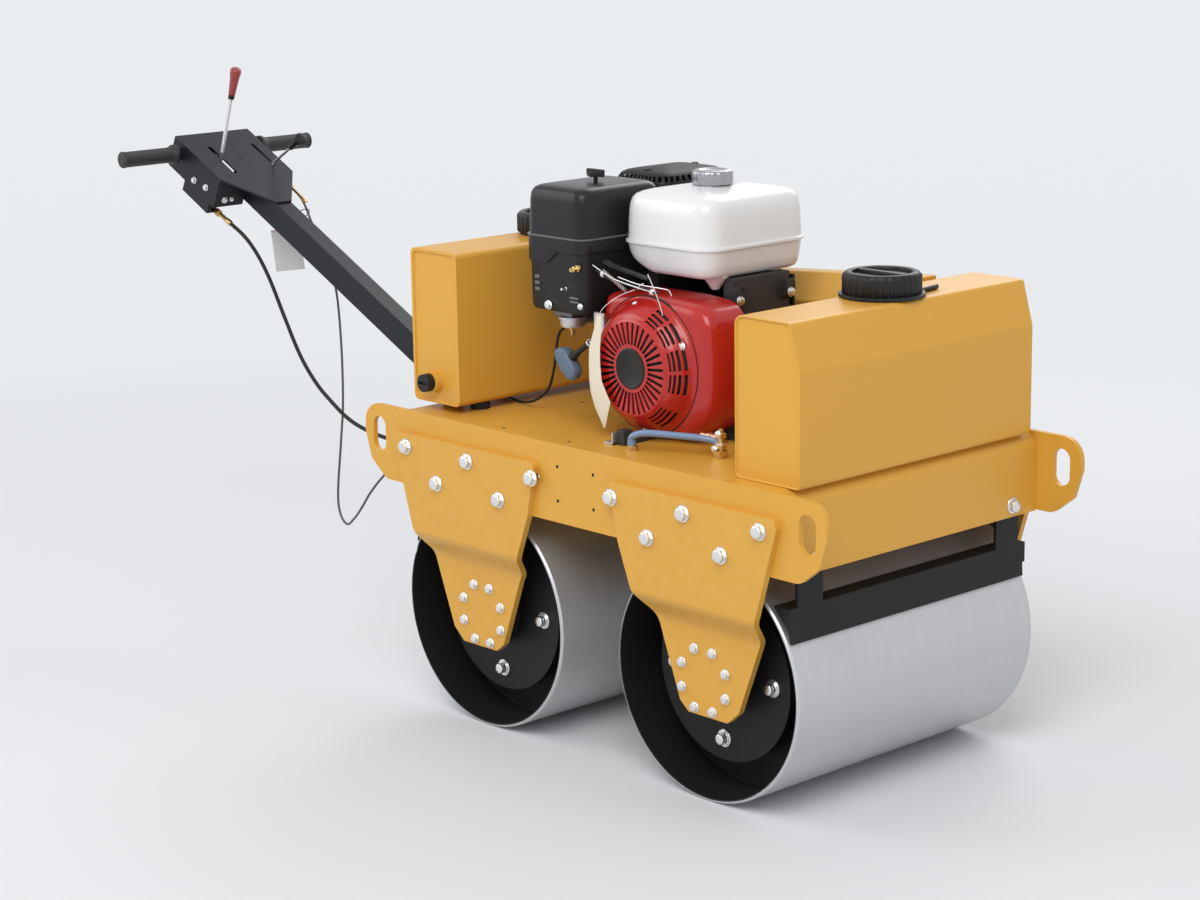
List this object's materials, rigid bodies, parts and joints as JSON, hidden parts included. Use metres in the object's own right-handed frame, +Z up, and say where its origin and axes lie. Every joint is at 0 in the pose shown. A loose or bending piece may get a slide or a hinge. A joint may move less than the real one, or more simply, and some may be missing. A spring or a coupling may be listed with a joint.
{
  "type": "walk behind double drum roller",
  "caption": "Walk-behind double-drum vibratory roller: bolted frame, scrapers, water tanks, petrol engine, folding steering arm with travel and throttle levers.",
  "frame": {"origin": "middle of the machine's length and width on the ground that the drums stand on, cables left out", "axes": "+X forwards, away from the operator; +Y to the machine's left; +Z up"},
  "size_m": [2.129, 0.6984, 1.1294],
  "materials": {
    "ochre_paint": "satin",
    "black_paint": "satin",
    "drum_steel": "satin",
    "zinc_steel": "polished",
    "rubber": "matte",
    "arm_paint": "satin",
    "cast_alloy": "matte",
    "cowl_red": "gloss",
    "tank_white": "gloss",
    "knob_red": "gloss",
    "handle_grey": "satin",
    "rope_cotton": "matte",
    "hose_blue": "gloss",
    "brass": "satin",
    "black_plastic": "satin"
  },
  "bodies": {
    "machine": {"side_plate_right": "ochre_paint", "side_plate_left": "ochre_paint", "deck": "ochre_paint", "front_cross_member": "ochre_paint", "rear_cross_member": "ochre_paint", "front_bracket_right": "ochre_paint", "front_bracket_left": "ochre_paint", "rear_bracket_right": "ochre_paint", "rear_bracket_left": "ochre_paint", "frame_bolts": "zinc_steel", "front_hubs": "black_paint", "rear_hubs": "black_paint", "front_scraper": "black_paint", "rear_scraper": "black_paint", "front_tank": "ochre_paint", "rear_tank": "ochre_paint", "tank_pads": "rubber", "arm_bracket": "black_paint", "pump": "black_paint", "belt_guard": "black_paint", "crankcase": "cast_alloy", "cylinder_block": "cast_alloy", "fan_cowl": "cowl_red", "recoil_cover": "cowl_red", "fuel_tank": "tank_white", "drive_belt": "rubber", "air_cleaner_case": "black_plastic", "air_cleaner_cover": "black_plastic", "silencer": "zinc_steel", "silencer_guard": "black_paint", "carburettor": "cast_alloy", "fuel_hose": "hose_blue", "cable_glands": "brass", "recoil_rope": "rope_cotton", "choke_cable": "rubber"},
    "front_drum_set": {"front_drum": "drum_steel", "front_carriers": "black_paint", "front_buffers": "rubber"},
    "rear_drum_set": {"rear_drum": "drum_steel", "rear_carriers": "black_paint", "rear_buffers": "rubber"},
    "front_exciter_shaft": {"front_exciter": "zinc_steel"},
    "rear_exciter_shaft": {"rear_exciter": "zinc_steel"},
    "crankshaft": {"flywheel": "cast_alloy"},
    "pump_shaft": {"pump_pulley": "zinc_steel"},
    "starter_handle": {"recoil_handle": "handle_grey"},
    "arm": {"steering_arm": "arm_paint", "control_head": "arm_paint", "handlebar": "arm_paint", "grip_right": "rubber", "grip_left": "rubber", "travel_cable": "rubber", "throttle_cable": "rubber"},
    "travel_control": {"travel_lever": "knob_red"},
    "throttle_control": {"throttle_lever": "knob_red"},
    "front_cap": {"front_filler_cap": "black_plastic"},
    "rear_cap": {"rear_filler_cap": "black_plastic"},
    "petrol_cap": {"fuel_cap": "black_plastic"},
    "drain": {"drain_plug": "black_plastic"},
    "cleaner_knob": {"wing_knob": "black_plastic"}
  },
  "joints": [
    {"name": "front_drum_roll", "type": "hinge", "parent": "machine", "child": "front_drum_set", "pos_m": [0.76598, 0, 0.213], "axis": [0, 1, 0], "continuous": true},
    {"name": "rear_drum_roll", "type": "hinge", "parent": "machine", "child": "rear_drum_set", "pos_m": [0.19598, 0, 0.213], "axis": [0, 1, 0], "continuous": true},
    {"name": "front_exciter_spin", "type": "hinge", "parent": "front_drum_set", "child": "front_exciter_shaft", "pos_m": [0.76598, 0, 0.213], "axis": [0, 1, 0], "continuous": true},
    {"name": "rear_exciter_spin", "type": "hinge", "parent": "rear_drum_set", "child": "rear_exciter_shaft", "pos_m": [0.19598, 0, 0.213], "axis": [0, 1, 0], "continuous": true},
    {"name": "crankshaft_spin", "type": "hinge", "parent": "machine", "child": "crankshaft", "pos_m": [0.52098, 0, 0.7], "axis": [0, 1, 0], "continuous": true},
    {"name": "pump_spin", "type": "hinge", "parent": "machine", "child": "pump_shaft", "pos_m": [0.52098, 0, 0.49132], "axis": [0, 1, 0], "continuous": true},
    {"name": "starter_pull", "type": "slide", "parent": "machine", "child": "starter_handle", "axis": [0, -1, 0], "range_m": [0, 0.6], "stiffness_N_per_m": 20, "springref_m": -0.1, "deforming": ["recoil_rope"]},
    {"name": "arm_fold", "type": "hinge", "parent": "machine", "child": "arm", "pos_m": [-0.06702, 0, 0.45996], "axis": [0, 1, 0], "range_deg": [0, 60], "deforming": ["travel_cable", "throttle_cable"]},
    {"name": "travel_lever_tilt", "type": "hinge", "parent": "arm", "child": "travel_control", "pos_m": [-0.95923, 0, 0.88505], "axis": [0, 1, 0], "range_deg": [-34, 44]},
    {"name": "throttle_lever_tilt", "type": "hinge", "parent": "arm", "child": "throttle_control", "pos_m": [-0.95923, 0, 0.88505], "axis": [0, 1, 0], "range_deg": [-72, 0]},
    {"name": "front_cap_turn", "type": "hinge", "parent": "machine", "child": "front_cap", "pos_m": [0.88698, 0, 0.839], "axis": [0, 0, 1], "range_deg": [0, 360]},
    {"name": "rear_cap_turn", "type": "hinge", "parent": "machine", "child": "rear_cap", "pos_m": [0.06748, 0, 0.866], "axis": [0, 0, 1], "range_deg": [0, 360]},
    {"name": "petrol_cap_turn", "type": "hinge", "parent": "machine", "child": "petrol_cap", "pos_m": [0.52098, -0.02967, 1.008], "axis": [0, 0, 1], "range_deg": [0, 90]},
    {"name": "drain_plug_turn", "type": "hinge", "parent": "machine", "child": "drain", "pos_m": [0.0649, -0.3, 0.62489], "axis": [0, -1, 0], "range_deg": [0, 720]},
    {"name": "cleaner_knob_turn", "type": "hinge", "parent": "machine", "child": "cleaner_knob", "pos_m": [0.32073, -0.1212, 1.004], "axis": [0, 0, 1], "range_deg": [0, 720]}
  ],
  "couplings": [
    {"joint": "rear_drum_roll", "follows": "front_drum_roll", "ratio": 1},
    {"joint": "pump_spin", "follows": "crankshaft_spin", "ratio": 0.66667}
  ]
}
